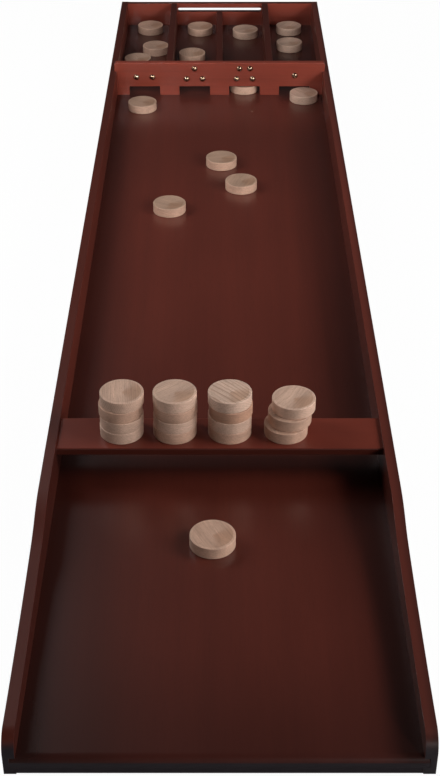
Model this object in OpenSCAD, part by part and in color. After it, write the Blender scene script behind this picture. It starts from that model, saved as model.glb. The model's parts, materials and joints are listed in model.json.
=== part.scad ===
// Dutch shuffleboard: a two metre lane with four scoring gates, a shelf for
// the discs and thirty beech discs as they lie in a game.
// Frame: X across the lane, +Y from the player to the far end, +Z up.
// The origin is on the table under the middle of the board.

/* [Board] */
// Length from the player's end to the far end
board_len = 2000; // [1900:10:2200]
// Width across the outer faces of the side walls
board_w = 410; // [406:1:430]
// Height of the playing surface above the table
surface_h = 21; // [19:0.5:30]
// Thickness of the playing panel
panel_t = 12; // [10:0.5:14]
// Radius of the panel's rounded front edge
panel_nose_r = 8; // [1:0.5:9]
// Depth of the grooves that carry the panel
groove_d = 6; // [4:0.5:7]
// Play left round a piece that sits in a groove, dado or hole
fit_gap = 0.1; // [0.05:0.05:0.2]

/* [Side walls] */
// Thickness of a side wall
wall_t = 12; // [10:0.5:14]
// Height of the walls above the playing surface
wall_h = 46.5; // [42:0.5:50]
// Distance from the player's end to the top of the ogee
ogee_start = 352; // [320:1:400]
// Radius where the wall top rolls over into the ogee
ogee_crest_r = 184; // [150:1:220]
// Radius at the foot of the ogee
ogee_foot_r = 239; // [180:1:260]
// Steepest slope of the ogee, in degrees
ogee_slope = 14.5; // [12:0.5:15]
// Slope where the foot of the ogee meets the long tail, in degrees
tail_slope = 4.6; // [3:0.1:5.5]
// Radius of the nose at the player's end
wall_nose_r = 20; // [8:1:22]

/* [Back wall] */
// Thickness of the back wall
back_t = 12; // [10:0.5:14]
// Length of the hand slot
slot_len = 176; // [140:1:176]
// Height of the hand slot
slot_h = 8.6; // [8:0.1:11]
// Height of the bar of wood over the hand slot
slot_bar_h = 9.2; // [5:0.1:10]

/* [Gate board] */
// Length of the compartments, from the back wall to the gate board
room_len = 367.5; // [340:0.5:420]
// Thickness of the gate board
gate_board_t = 12; // [10:0.5:15]
// Height of the gate board above the playing surface
gate_board_h = 63; // [58:1:70]
// Radius of its two top corners
gate_board_corner_r = 5; // [2:1:8]
// Depth of the dadoes that hold its ends
dado_d = 4; // [3:0.5:5]
// Extra width of the two end posts, beyond half a post between gates
end_post_extra = 5; // [0:0.5:12]
// Play of a disc in the width of a gate
gate_play = 5.5; // [4:0.5:8]
// Headroom over a disc in a gate
gate_headroom = 2; // [1.5:0.25:4]

/* [Dividers] */
// Thickness of a divider
divider_t = 12; // [9:0.5:13]
// Distance of an outer divider outwards from the middle of its gate post
divider_offset = 1; // [0:0.5:2]
// Drop of the middle divider's top below the slot's lower edge
middle_divider_drop = 0; // [0:0.5:4]

/* [Disc shelf] */
// Distance from the player's end to the front edge of the shelf
shelf_at = 430.5; // [400:0.5:460]
// Depth of the shelf along the lane
shelf_w = 63.5; // [60:0.5:80]
// Thickness of the shelf
shelf_t = 9; // [8:0.5:12]
// Drop of the shelf's top below the top of the walls
shelf_drop = 3.5; // [0:0.5:5]
// Radius of the shelf's long top edges
shelf_edge_r = 2; // [1:0.5:3]

/* [Battens] */
// Width of the rail under the panel's front edge
front_rail_w = 20; // [14:1:40]
// Distance of the rail's face behind the panel's front edge
front_rail_set_back = 0.5; // [0:0.5:5]
// Height of the rail's underside above the table
front_rail_lift = 0.5; // [0:0.5:3]
// Width of a batten under the panel
batten_w = 45; // [30:1:60]
// Distance from the player's end to the front batten's middle
front_batten_at = 240; // [150:5:320]
// Distance from the far end to the rear batten's middle
rear_batten_at = 185; // [150:5:190]

/* [Discs] */
// Diameter of a disc
disc_d = 52; // [50:0.5:53]
// Thickness of a disc
disc_t = 14.5; // [13:0.25:16]
// Bevel round the rim of a disc
disc_bevel = 0.8; // [0.5:0.1:1.5]
// Width of the flat rim round the hollow faces
disc_rim_w = 3; // [2:0.1:6]
// Depth of the hollow faces at their middle
disc_dish = 1.2; // [0.5:0.1:2]

/* [Disc places] */
// Disc in front of the shelf: across the lane, and back from the shelf's front edge
near_disc = [-8, 121.5]; // [-150:0.5:380]
// First disc in mid lane: across the lane, and back from the gate board
mid_disc_a = [3, 307.5]; // [-150:0.5:600]
// Second disc in mid lane
mid_disc_b = [35.5, 397.5]; // [-150:0.5:600]
// Third disc in mid lane
mid_disc_c = [-80.5, 479]; // [-150:0.5:600]
// Disc short of gate two: across from the gate's middle, and gap to the gate board
gate_two_disc = [-1.5, 40]; // [-2:0.5:100]
// Disc against a post of gate one: across from the gate's middle
gate_one_disc_x = 16.5; // [14:0.5:18]
// Gap between that disc and the corner of the post
touch_gap = 0.3; // [0.1:0.1:0.5]
// Disc lying in gate four: across from the gate's middle, and out in front of the board
gate_four_disc = [-0.5, 1.5]; // [-2:0.5:20]
// Discs in compartment two, back to front, across it: 0 against its left side, 1 its right
two_across = [0.575, 0.96, 0.14]; // [0:0.005:1]
// Gap behind each of them
two_gaps = [12, 66.5, 16.5]; // [1:0.5:90]
// Discs in compartment three, across it
three_across = [0.73, 0.27]; // [0:0.005:1]
// Gap behind each of them
three_gaps = [18, 100]; // [1:0.5:120]
// Disc in compartment four, across it
four_across = [0.69]; // [0:0.005:1]
// Gap behind it
four_gaps = [36.5]; // [1:0.5:200]
// Discs in compartment one, across it
one_across = [0.425, 0.36]; // [0:0.005:1]
// Gap behind each of them
one_gaps = [15, 44]; // [1:0.5:120]
// Gaps from the left wall to the first stack, and then between neighbouring stacks
stack_gaps = [50, 11.5, 13.5, 15]; // [5:0.5:60]
// Distance of the stacks' bottom discs behind the middle of the shelf
stack_set_back = 2; // [0:0.5:6]
// Lean of the full stacks, away from the player, for each disc
stack_lean = 0.5; // [0:0.1:2]
// Step across the lane, and away from the player, for each disc of the crooked stack
crooked_step = [4.5, 5]; // [0:0.5:6]

/* [Score nails] */
// Diameter of a nail's domed head
nail_head_d = 11; // [8:0.5:11.5]
// Height of the dome
nail_dome_h = 3.4; // [2:0.1:4]
// Diameter of a nail's shank
nail_shank_d = 1.8; // [1.4:0.1:2.4]
// Length of a nail's shank
nail_shank_len = 8; // [6:0.5:9]
// Height of the nails in one row of two, above the playing surface
pair_nail_z = 35; // [30:0.5:45]
// Height of the lower row where there are two rows
low_nail_z = 31.5; // [28:0.5:36]
// Height of the upper row where there are two rows
high_nail_z = 51.5; // [45:0.5:54]
// Height of the single nail
single_nail_z = 38; // [30:0.5:50]
// Distance of a nail of a wide pair from the gate's middle
nail_wide = 15; // [10:0.5:20]
// Distance of a nail of the close upper pair from the gate's middle
nail_close = 10; // [6:0.5:14]

/* [Fixings] */
// Diameter of a screw's head
screw_head_d = 7; // [6:0.5:8]
// Diameter of a screw's shank
screw_d = 3.5; // [3:0.25:4.5]
// Length of the screws that come up through the panel
long_screw_len = 32; // [24:1:34]
// Depth that the screws of the rail and the battens reach into the panel
batten_screw_bite = 8; // [6:0.5:9]
// Distance of the divider screws from the ends of the divider
divider_screw_inset = 55; // [30:5:90]
// Diameter of a dowel
dowel_d = 5; // [4:0.5:6]
// Depth of the dowels in a side wall
dowel_wall_depth = 7; // [5:0.5:8]
// Depth of the dowels in the piece between the walls
dowel_end_depth = 18; // [12:1:25]
// Distance of a shelf dowel from the shelf's edge
shelf_dowel_inset = 16; // [10:1:22]
// Distance of a back wall dowel from the playing surface or the wall's top
back_dowel_inset = 12; // [8:1:14]
// Distance of the outer screws of the rail and the battens from the walls
batten_screw_inset = 40; // [20:5:90]
// Diameter of a screw's blunt tip
screw_tip_d = 0.6; // [0.4:0.1:1]
// Depth of the cross recess in a screw's head
recess_depth = 0.8; // [0.4:0.1:1]
// Width of the recess's two cuts
recess_w = 0.7; // [0.5:0.1:1]
// Length of the recess's two cuts
recess_len = 3.9; // [3:0.1:4.5]

/* [Hidden] */
$fn = 96;

frame_color = [0.33, 0.12, 0.09];
surface_color = [0.30, 0.11, 0.085];
disc_color = [0.83, 0.70, 0.55];
brass_color = [0.80, 0.65, 0.35];
steel_color = [0.62, 0.62, 0.60];
bare_wood_color = [0.72, 0.58, 0.42];

front_y = -board_len / 2;
back_y = board_len / 2;
wall_top = surface_h + wall_h;
panel_low = surface_h - panel_t;
inner_half = board_w / 2 - wall_t;
back_face_y = back_y - back_t;
past = 1;
seam = 0.01;

gate_rear_y = back_face_y - room_len;
gate_face_y = gate_rear_y - gate_board_t;
gate_pitch = (inner_half - end_post_extra) / 2;
gate_w = disc_d + gate_play;
gate_h = disc_t + gate_headroom;
gate_two_x = -1.5 * gate_pitch;
gate_three_x = -0.5 * gate_pitch;
gate_four_x = 0.5 * gate_pitch;
gate_one_x = 1.5 * gate_pitch;
gate_xs = [gate_two_x, gate_three_x, gate_four_x, gate_one_x];
end_post_x = (gate_one_x + gate_w / 2 + inner_half) / 2;

slot_low = wall_h - slot_bar_h - slot_h;
divider_x = gate_pitch + divider_offset;
middle_divider_h = slot_low - middle_divider_drop;

shelf_y = front_y + shelf_at;
shelf_top = wall_top - shelf_drop;
shelf_low = shelf_top - shelf_t;
shelf_mid_y = shelf_y + shelf_w / 2;

disc_r = disc_d / 2;

front_rail_y = front_y + front_rail_set_back + front_rail_w / 2;
batten_ys = [front_y + front_batten_at, 0, back_y - rear_batten_at];
screw_rows = concat([[front_rail_y, front_rail_lift]], [for (y = batten_ys) [y, 0]]);
batten_screw_x = inner_half - batten_screw_inset;
batten_screw_xs = [-batten_screw_x, 0, batten_screw_x];
gate_screw_spots = [for (x = [-end_post_x, -gate_pitch, 0, gate_pitch, end_post_x])
    [x, gate_face_y + gate_board_t / 2]];
divider_screw_ys = [gate_rear_y + divider_screw_inset, back_face_y - divider_screw_inset];
divider_screw_spots = [for (x = [-divider_x, 0, divider_x], y = divider_screw_ys) [x, y]];
shelf_dowel_spots = [for (y = [shelf_y + shelf_dowel_inset, shelf_y + shelf_w - shelf_dowel_inset])
    [y, shelf_low + shelf_t / 2]];
back_dowel_spots = [for (z = [surface_h + back_dowel_inset, wall_top - back_dowel_inset])
    [back_y - back_t / 2, z]];

// Points along an arc, from angle a to angle b about a centre
function arc(center, r, a, b, steps) =
    [for (i = [0 : steps]) let (t = a + (b - a) * i / steps) center + r * [cos(t), sin(t)]];

// Outline of a side wall from the side: the crest and foot of the ogee, the long
// tail that flattens towards the player and the rounded nose, each tangent to the next
crest_center = [front_y + ogee_start, wall_top - ogee_crest_r];
crest_end = crest_center + ogee_crest_r * [-sin(ogee_slope), cos(ogee_slope)];
foot_center = crest_end + ogee_foot_r * [-sin(ogee_slope), cos(ogee_slope)];
foot_end = foot_center + ogee_foot_r * [sin(tail_slope), -cos(tail_slope)];
tail_r = (foot_end[0] - front_y - wall_nose_r) / sin(tail_slope);
tail_center = foot_end + tail_r * [-sin(tail_slope), cos(tail_slope)];
tail_end = tail_center - [0, tail_r];
wall_outline = concat(
    [[front_y, 0], [back_y, 0], [back_y, wall_top]],
    arc(crest_center, ogee_crest_r, 90, 90 + ogee_slope, 8),
    arc(foot_center, ogee_foot_r, ogee_slope - 90, tail_slope - 90, 8),
    arc(tail_center, tail_r, tail_slope - 90, -90, 8),
    arc(tail_end - [0, wall_nose_r], wall_nose_r, 90, 180, 8));

FRAME_NODES = ["playing_board", "left_side_wall", "right_side_wall", "back_wall", "gate_board",
    "left_divider", "middle_divider", "right_divider", "disc_shelf",
    "front_rail", "front_batten", "middle_batten", "rear_batten",
    "score_nails_one", "score_nails_two", "score_nails_three", "score_nails_four",
    "gate_board_screws", "divider_screws", "batten_screws", "shelf_dowels", "back_wall_dowels"];

// A disc that lies on the playing surface: name, and middle of its base
function on_lane(name, x, y) = [name, [x, y, surface_h]];
function from_gates(name, x, back) = on_lane(name, x, gate_face_y - back);

// Sum of the first entries of a list, up to and with entry k
function sum_to(v, k) = k < 0 ? 0 : v[k] + sum_to(v, k - 1);

// The discs of one compartment, back to front, between the faces of its two sides
function in_room(names, low, high, across, gaps) =
    [for (k = [0 : len(names) - 1])
        on_lane(names[k],
            low + disc_r + across[k] * (high - low - disc_d),
            back_face_y - sum_to(gaps, k) - k * disc_d - disc_r)];

// The disc at gate one touches the corner of its post
post_corner = gate_w / 2 - gate_one_disc_x;
post_reach = sqrt(disc_r * disc_r - post_corner * post_corner) + touch_gap;

LANE_DISCS = [
    on_lane("near_disc", near_disc[0], shelf_y - near_disc[1]),
    from_gates("mid_disc_a", mid_disc_a[0], mid_disc_a[1]),
    from_gates("mid_disc_b", mid_disc_b[0], mid_disc_b[1]),
    from_gates("mid_disc_c", mid_disc_c[0], mid_disc_c[1]),
    from_gates("gate_two_disc", gate_two_x + gate_two_disc[0], gate_two_disc[1] + disc_r),
    from_gates("gate_one_disc", gate_one_x + gate_one_disc_x, post_reach),
    from_gates("gate_four_disc", gate_four_x + gate_four_disc[0], gate_four_disc[1] - disc_r)];

half_t = divider_t / 2;
ROOM_DISCS = concat(
    in_room(["two_disc_back", "two_disc_side", "two_disc_front"],
        -inner_half, -divider_x - half_t, two_across, two_gaps),
    in_room(["three_disc_back", "three_disc_front"],
        -divider_x + half_t, -half_t, three_across, three_gaps),
    in_room(["four_disc"], half_t, divider_x - half_t, four_across, four_gaps),
    in_room(["one_disc_back", "one_disc_front"],
        divider_x + half_t, inner_half, one_across, one_gaps));

// Small sideways errors of the full stacks, disc by disc from the bottom
stack_wander = [[0, 0.5, -0.5, 1.5], [0, 0.5, 1, 0.5], [0, 0, 1, 0]];

function stack_x(s) = sum_to(stack_gaps, s) + s * disc_d + disc_r - inner_half;
function stack_disc(name, x, y, level) = [name, [x, y, shelf_top + level * disc_t]];

STACK_DISCS = concat(
    [for (s = [0 : 2], k = [0 : 3])
        stack_disc(str("stack_", "abc"[s], "_disc_", k + 1),
            stack_x(s) + stack_wander[s][k],
            shelf_mid_y + stack_set_back + k * stack_lean, k)],
    [for (k = [0 : 2])
        stack_disc(str("stack_d_disc_", k + 1),
            stack_x(3) + k * crooked_step[0],
            shelf_mid_y + stack_set_back + k * crooked_step[1], k)]);

DISCS = concat(LANE_DISCS, ROOM_DISCS, STACK_DISCS);

// A countersunk screw that points up, its head level with z = 0. Grown by the
// play, the same shape is the hole that it is driven into.
module screw_body(length, play = 0) {
    head_h = (screw_head_d - screw_d) / 2;
    tip_h = screw_d;
    cylinder(d1 = screw_head_d + 2 * play, d2 = screw_d + 2 * play, h = head_h);
    cylinder(d = screw_d + 2 * play, h = length - tip_h);
    translate([0, 0, length - tip_h])
        cylinder(d1 = screw_d + 2 * play, d2 = screw_tip_d + 2 * play, h = tip_h + play);
}

module screw_hole(length) {
    screw_body(length, fit_gap);
    translate([0, 0, -past])
        cylinder(d = screw_head_d + 2 * fit_gap, h = past + seam);
}

module screw(length) {
    difference() {
        screw_body(length);
        for (turn = [0, 90])
            rotate([0, 0, turn])
                translate([-recess_len / 2, -recess_w / 2, -past])
                    cube([recess_len, recess_w, past + recess_depth]);
    }
}

// Screws in the underside of the panel, and the holes that they need
module long_screws(spots) {
    for (s = spots)
        translate([s[0], s[1], panel_low]) screw(long_screw_len);
}

module long_screw_holes(spots) {
    for (s = spots)
        translate([s[0], s[1], panel_low]) screw_hole(long_screw_len);
}

// Where a row of screws starts: its place along the lane, and its height above the table
module batten_screw_holes(row) {
    for (x = batten_screw_xs)
        translate([x, row[0], row[1]]) screw_hole(panel_low - row[1] + batten_screw_bite);
}

// Dowels across the joint between a side wall and what it carries
module dowels(spots, play = 0) {
    for (side = [-1, 1], s = spots)
        translate([side * inner_half, s[0], s[1]])
            rotate([0, side * 90, 0])
                translate([0, 0, -dowel_end_depth - play])
                    cylinder(d = dowel_d + 2 * play,
                        h = dowel_end_depth + dowel_wall_depth + 2 * play);
}

module playing_board() {
    panel_half = inner_half + groove_d - fit_gap;
    panel_len = board_len - back_t + groove_d - fit_gap;
    color(surface_color)
        difference() {
            translate([-panel_half, front_y, panel_low])
                cube([2 * panel_half, panel_len, panel_t]);
            translate([-panel_half - past, front_y, surface_h])
                panel_nose_cut(2 * (panel_half + past));
            long_screw_holes(concat(gate_screw_spots, divider_screw_spots));
            for (row = screw_rows) batten_screw_holes(row);
        }
}

// What the rounding takes off the panel's front top edge
module panel_nose_cut(length) {
    difference() {
        translate([0, -past, -panel_nose_r])
            cube([length, past + panel_nose_r, panel_nose_r + past]);
        translate([-past, panel_nose_r, -panel_nose_r])
            rotate([0, 90, 0]) cylinder(r = panel_nose_r, h = length + 2 * past);
    }
}

// The side wall on the right; the left one is its mirror image
module side_wall() {
    color(frame_color)
        difference() {
            translate([inner_half, 0, 0])
                rotate([90, 0, 90]) linear_extrude(wall_t) polygon(wall_outline);
            translate([inner_half - past, front_y - past, panel_low - fit_gap])
                cube([past + groove_d, board_len - back_t + groove_d + past, panel_t + fit_gap]);
            translate([inner_half - past, gate_face_y - fit_gap, surface_h - fit_gap])
                cube([past + dado_d, gate_board_t + 2 * fit_gap, wall_h + past]);
            dowels(concat(shelf_dowel_spots, back_dowel_spots), fit_gap);
        }
}

module left_side_wall() {
    mirror([1, 0, 0]) side_wall();
}

module right_side_wall() {
    side_wall();
}

module back_wall() {
    slot_r = slot_h / 2;
    slot_z = surface_h + slot_low + slot_r;
    color(frame_color)
        difference() {
            translate([-inner_half, back_face_y, 0])
                cube([2 * inner_half, back_t, wall_top]);
            translate([-inner_half - past, back_face_y - past, panel_low - fit_gap])
                cube([2 * (inner_half + past), past + groove_d, panel_t + fit_gap]);
            translate([-slot_len / 2 + slot_r, back_face_y - past, slot_z - slot_r])
                cube([slot_len - slot_h, back_t + 2 * past, slot_h]);
            for (side = [-1, 1])
                translate([side * (slot_len / 2 - slot_r), back_face_y - past, slot_z])
                    rotate([-90, 0, 0]) cylinder(r = slot_r, h = back_t + 2 * past);
            dowels(back_dowel_spots, fit_gap);
        }
}

module gate_board() {
    half = inner_half + dado_d - fit_gap;
    top = surface_h + gate_board_h;
    corner = gate_board_corner_r;
    color(frame_color)
        difference() {
            union() {
                translate([-half, gate_face_y, surface_h])
                    cube([2 * half, gate_board_t, gate_board_h - corner]);
                translate([-half + corner, gate_face_y, surface_h])
                    cube([2 * (half - corner), gate_board_t, gate_board_h]);
                for (side = [-1, 1])
                    translate([side * (half - corner), gate_face_y, top - corner])
                        rotate([-90, 0, 0]) cylinder(r = corner, h = gate_board_t);
            }
            for (x = gate_xs)
                translate([x - gate_w / 2, gate_face_y - past, surface_h - past])
                    cube([gate_w, gate_board_t + 2 * past, gate_h + past]);
            for (spot = concat(nails_one, nails_two, nails_three, nails_four))
                translate([spot[0], gate_face_y, surface_h + spot[1]])
                    rotate([-90, 0, 0])
                        translate([0, 0, -past])
                            cylinder(d = nail_shank_d + 2 * fit_gap,
                                h = past + nail_shank_len + fit_gap);
            long_screw_holes(gate_screw_spots);
        }
}

module divider(x, height) {
    color(frame_color)
        difference() {
            translate([x - divider_t / 2, gate_rear_y, surface_h])
                cube([divider_t, room_len, height]);
            long_screw_holes([for (y = divider_screw_ys) [x, y]]);
        }
}

module left_divider() {
    divider(-divider_x, wall_h);
}

module middle_divider() {
    divider(0, middle_divider_h);
}

module right_divider() {
    divider(divider_x, wall_h);
}

module disc_shelf() {
    r = shelf_edge_r;
    color(frame_color)
        difference() {
            translate([-inner_half, shelf_y, shelf_low])
                rotate([90, 0, 90])
                    linear_extrude(2 * inner_half) {
                        square([shelf_w, shelf_t - r]);
                        translate([r, 0]) square([shelf_w - 2 * r, shelf_t]);
                        for (y = [r, shelf_w - r])
                            translate([y, shelf_t - r]) circle(r);
                    }
            dowels(shelf_dowel_spots, fit_gap);
        }
}

// A strip of wood across the underside of the panel, with its row of screws in the middle
module cross_strip(row, width) {
    difference() {
        translate([-inner_half, row[0] - width / 2, row[1]])
            cube([2 * inner_half, width, panel_low - row[1]]);
        batten_screw_holes(row);
    }
}

module front_rail() {
    color(frame_color) cross_strip(screw_rows[0], front_rail_w);
}

module batten(row) {
    color(bare_wood_color) cross_strip(row, batten_w);
}

module front_batten() {
    batten(screw_rows[1]);
}

module middle_batten() {
    batten(screw_rows[2]);
}

module rear_batten() {
    batten(screw_rows[3]);
}

// Where the nails of each gate stand: across the lane, and above the playing surface
nails_one = [[gate_one_x, single_nail_z]];
nails_two = [for (side = [-1, 1]) [gate_two_x + side * nail_wide, pair_nail_z]];
nails_three = [[gate_three_x, high_nail_z],
    [gate_three_x - nail_wide, low_nail_z], [gate_three_x + nail_wide, low_nail_z]];
nails_four = [for (side = [-1, 1], row = [[nail_close, high_nail_z], [nail_wide, low_nail_z]])
    [gate_four_x + side * row[0], row[1]]];

// A brass nail with a domed head, driven into the front of the gate board
module score_nail() {
    head_r = nail_head_d / 2;
    dome_r = (head_r * head_r + nail_dome_h * nail_dome_h) / (2 * nail_dome_h);
    intersection() {
        translate([0, dome_r - nail_dome_h, 0]) sphere(r = dome_r);
        rotate([90, 0, 0]) cylinder(r = head_r, h = nail_dome_h);
    }
    rotate([-90, 0, 0])
        translate([0, 0, -seam]) cylinder(d = nail_shank_d, h = nail_shank_len + seam);
}

module score_nails(spots) {
    color(brass_color)
        for (spot = spots)
            translate([spot[0], gate_face_y, surface_h + spot[1]]) score_nail();
}

module gate_board_screws() {
    color(steel_color) long_screws(gate_screw_spots);
}

module divider_screws() {
    color(steel_color) long_screws(divider_screw_spots);
}

module batten_screws() {
    color(steel_color)
        for (row = screw_rows, x = batten_screw_xs)
            translate([x, row[0], row[1]]) screw(panel_low - row[1] + batten_screw_bite);
}

module shelf_dowels() {
    color(bare_wood_color) dowels(shelf_dowel_spots);
}

module back_wall_dowels() {
    color(bare_wood_color) dowels(back_dowel_spots);
}

// A turned disc: bevelled, with a flat rim, and both faces cut in to a shallow cone
module disc() {
    dish_r = disc_r - disc_rim_w;
    b = disc_bevel;
    color(disc_color)
        rotate_extrude()
            polygon([[0, disc_dish], [dish_r, 0], [disc_r - b, 0], [disc_r, b],
                [disc_r, disc_t - b], [disc_r - b, disc_t], [dish_r, disc_t],
                [0, disc_t - disc_dish]]);
}

playing_board();
left_side_wall();
right_side_wall();
back_wall();
gate_board();
left_divider();
middle_divider();
right_divider();
disc_shelf();
front_rail();
front_batten();
middle_batten();
rear_batten();
score_nails(nails_one);  // score_nails_one
score_nails(nails_two);  // score_nails_two
score_nails(nails_three);  // score_nails_three
score_nails(nails_four);  // score_nails_four
gate_board_screws();
divider_screws();
batten_screws();
shelf_dowels();
back_wall_dowels();
for (d = DISCS)
    translate(d[1]) disc();
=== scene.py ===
# %% [markdown]
# # A dutch shuffleboard, dressed in Blender
#
# The board is a two metre lane between low walls. Thirty beech discs are slid from the
# player's end through four gates, into four compartments. The carpentry was drawn in a CAD
# program, so the sizes are fixed: this lesson adds what the CAD solids lack, eased edges,
# turned discs, domed brass nails, and wood that looks like wood.
#
# Everything is in metres, with X across the lane, +Y from the player to the gates, +Z up.

import json
import math
import random

import bmesh
import bpy
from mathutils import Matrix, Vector

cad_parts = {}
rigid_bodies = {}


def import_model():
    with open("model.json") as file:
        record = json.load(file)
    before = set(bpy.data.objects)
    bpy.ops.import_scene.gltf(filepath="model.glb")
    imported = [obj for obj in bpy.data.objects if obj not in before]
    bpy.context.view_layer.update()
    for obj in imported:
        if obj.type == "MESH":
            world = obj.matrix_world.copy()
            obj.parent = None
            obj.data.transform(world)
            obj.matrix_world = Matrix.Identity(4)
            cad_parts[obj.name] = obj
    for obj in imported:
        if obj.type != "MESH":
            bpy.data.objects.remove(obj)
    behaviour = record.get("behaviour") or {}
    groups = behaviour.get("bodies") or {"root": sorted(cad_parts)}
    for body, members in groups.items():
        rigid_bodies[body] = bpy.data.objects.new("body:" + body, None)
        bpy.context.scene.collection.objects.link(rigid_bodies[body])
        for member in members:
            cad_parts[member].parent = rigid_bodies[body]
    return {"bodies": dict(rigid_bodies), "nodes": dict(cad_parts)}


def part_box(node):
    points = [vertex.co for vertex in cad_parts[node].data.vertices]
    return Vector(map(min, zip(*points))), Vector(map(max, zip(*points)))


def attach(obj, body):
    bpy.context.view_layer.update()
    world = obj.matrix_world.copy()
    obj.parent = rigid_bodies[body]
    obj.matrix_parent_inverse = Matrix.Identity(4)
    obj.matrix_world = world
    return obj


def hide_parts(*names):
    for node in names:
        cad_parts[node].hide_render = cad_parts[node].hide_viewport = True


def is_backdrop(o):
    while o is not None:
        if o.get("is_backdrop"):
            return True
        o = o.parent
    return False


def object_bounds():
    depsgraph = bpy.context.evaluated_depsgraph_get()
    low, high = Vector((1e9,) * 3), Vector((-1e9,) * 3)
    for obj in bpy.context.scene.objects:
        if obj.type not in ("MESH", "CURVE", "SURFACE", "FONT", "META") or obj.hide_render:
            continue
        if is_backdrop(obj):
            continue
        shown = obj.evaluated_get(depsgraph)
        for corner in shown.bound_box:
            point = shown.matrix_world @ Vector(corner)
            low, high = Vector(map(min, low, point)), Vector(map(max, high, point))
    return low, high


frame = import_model()
cad_low, cad_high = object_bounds()
print("board is", [round(b - a, 3) for a, b in zip(cad_low, cad_high)], "metres")

# %% [markdown]
# ## The camera
#
# The photograph was taken from the player's end, down the lane. The far gates look small, so
# the lens matters as much as the place: a long lens from far away would keep the walls nearly
# parallel. We could move the camera about until it looks right, but the place, tilt and lens
# were worked out from the board's own edges, whose real sizes are known, which is closer.

# %% Stand where the photographer stood
PHOTO_WIDE, PHOTO_HIGH = 440, 776
FOCAL_PIXELS = 1400
CAMERA_PLACE = (-0.0005, -1.8935, 1.0493)
CAMERA_TILT = 55.83
SHIFT_RIGHT = 0.0009
SENSOR_MM = 36.0

lens = bpy.data.cameras.new("photographer")
lens.sensor_width = SENSOR_MM
lens.lens = SENSOR_MM * FOCAL_PIXELS / PHOTO_HIGH
lens.shift_x = SHIFT_RIGHT
camera = bpy.data.objects.new("photographer", lens)
camera.location = CAMERA_PLACE
camera.rotation_euler = (math.radians(CAMERA_TILT), 0, 0)
bpy.context.scene.collection.objects.link(camera)
bpy.context.scene.camera = camera
bpy.context.scene.view_settings.view_transform = "Standard"
print("lens", round(lens.lens, 2), "mm, for a picture of", PHOTO_WIDE, "by", PHOTO_HIGH)

# %% [markdown]
# ## Helpers for nodes
#
# Materials in Blender are networks of nodes. Wiring them one socket at a time makes long
# code, so one helper adds a node and fills its inputs: a value is typed into the socket, and
# another node's output is linked to it.

# %% Add a node and wire it up
def add(tree, kind, inputs=None, **settings):
    """Adds a node. Inputs go by name or number, and are values or output sockets."""
    made = tree.nodes.new("ShaderNode" + kind)
    for name, value in settings.items():
        setattr(made, name, value)
    for name, value in (inputs or {}).items():
        if isinstance(value, bpy.types.NodeSocket):
            tree.links.new(value, made.inputs[name])
        else:
            made.inputs[name].default_value = value
    return made


def blank_tree(owner):
    """Empties the node tree of a material or a world and gives it back."""
    owner.use_nodes = True
    owner.node_tree.nodes.clear()
    return owner.node_tree


print("nodes can be wired")

# %% [markdown]
# Four more helpers do sums. The Mix node has sockets for numbers, vectors and colours under
# the same names, so the ones for colours are picked by their numbers.

# %% Do sums with nodes
MIX_ONE, MIX_TWO, MIX_RESULT = 6, 7, 2


def maths(tree, operation, *values):
    """A math node on one, two or three values, and its output."""
    return add(tree, "Math", dict(enumerate(values)), operation=operation).outputs[0]


def remap(tree, value, low, high, new_low=0.0, new_high=1.0, smooth=False):
    """Moves a value from one range to another and holds it there."""
    ends = {"From Min": low, "From Max": high, "To Min": new_low, "To Max": new_high}
    kind = "SMOOTHSTEP" if smooth else "LINEAR"
    return add(tree, "MapRange", {"Value": value, **ends}, interpolation_type=kind).outputs["Result"]


def blend(tree, amount, one, two, way="MIX"):
    """Colour one where amount is 0, colour two where it is 1."""
    inputs = {0: amount, MIX_ONE: one, MIX_TWO: two}
    return add(tree, "Mix", inputs, data_type="RGBA", blend_type=way).outputs[MIX_RESULT]


def multiply(tree, colour, factor):
    """A colour times a number or times another colour."""
    return blend(tree, 1.0, colour, factor, "MULTIPLY")


print("sums ready")

# %% [markdown]
# The last helpers read something from the surface: which way it faces, a number that the mesh
# stores at each point, or a random pattern at a place. Blender's noise runs from 0 to 1 but is
# seldom near its ends, so it is mostly remapped from the stretch in which most of it lies.

# %% Read the surface
MOST_NOISE, MIDDLE_NOISE = (0.3, 0.7), (0.35, 0.65)


def facing(tree):
    """Which way the surface faces, as its X, Y and Z parts."""
    normal = add(tree, "NewGeometry").outputs["Normal"]
    return add(tree, "SeparateXYZ", {0: normal}).outputs


def stored(tree, name):
    """A number that the mesh stores at its points, or 0 where it stores none."""
    return add(tree, "Attribute", attribute_name=name).outputs["Fac"]


def noise(tree, place, steps, detail=3.0):
    """A random pattern, with so many steps per metre along each axis."""
    squeezed = add(tree, "Mapping", {"Vector": place, "Scale": steps}).outputs[0]
    return add(tree, "TexNoise", {"Vector": squeezed, "Scale": 1.0, "Detail": detail}).outputs["Fac"]


print("surface helpers ready")

# %% [markdown]
# Every finish begins with an empty material and ends with Blender's Principled shader, over a
# relief that is too fine to model.

# %% Begin and end a material
def new_material(name):
    """A material without nodes, and its node tree."""
    material = bpy.data.materials.new(name)
    return material, blank_tree(material)


def end_material(tree, sockets, relief, strength, depth):
    """Ends a material with a shader and a fine relief."""
    bump = add(tree, "Bump", {"Height": relief, "Strength": strength, "Distance": depth}).outputs[0]
    shader = add(tree, "BsdfPrincipled", {**sockets, "Normal": bump})
    add(tree, "OutputMaterial", {"Surface": shader.outputs[0]})


print("materials can be made")

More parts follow.
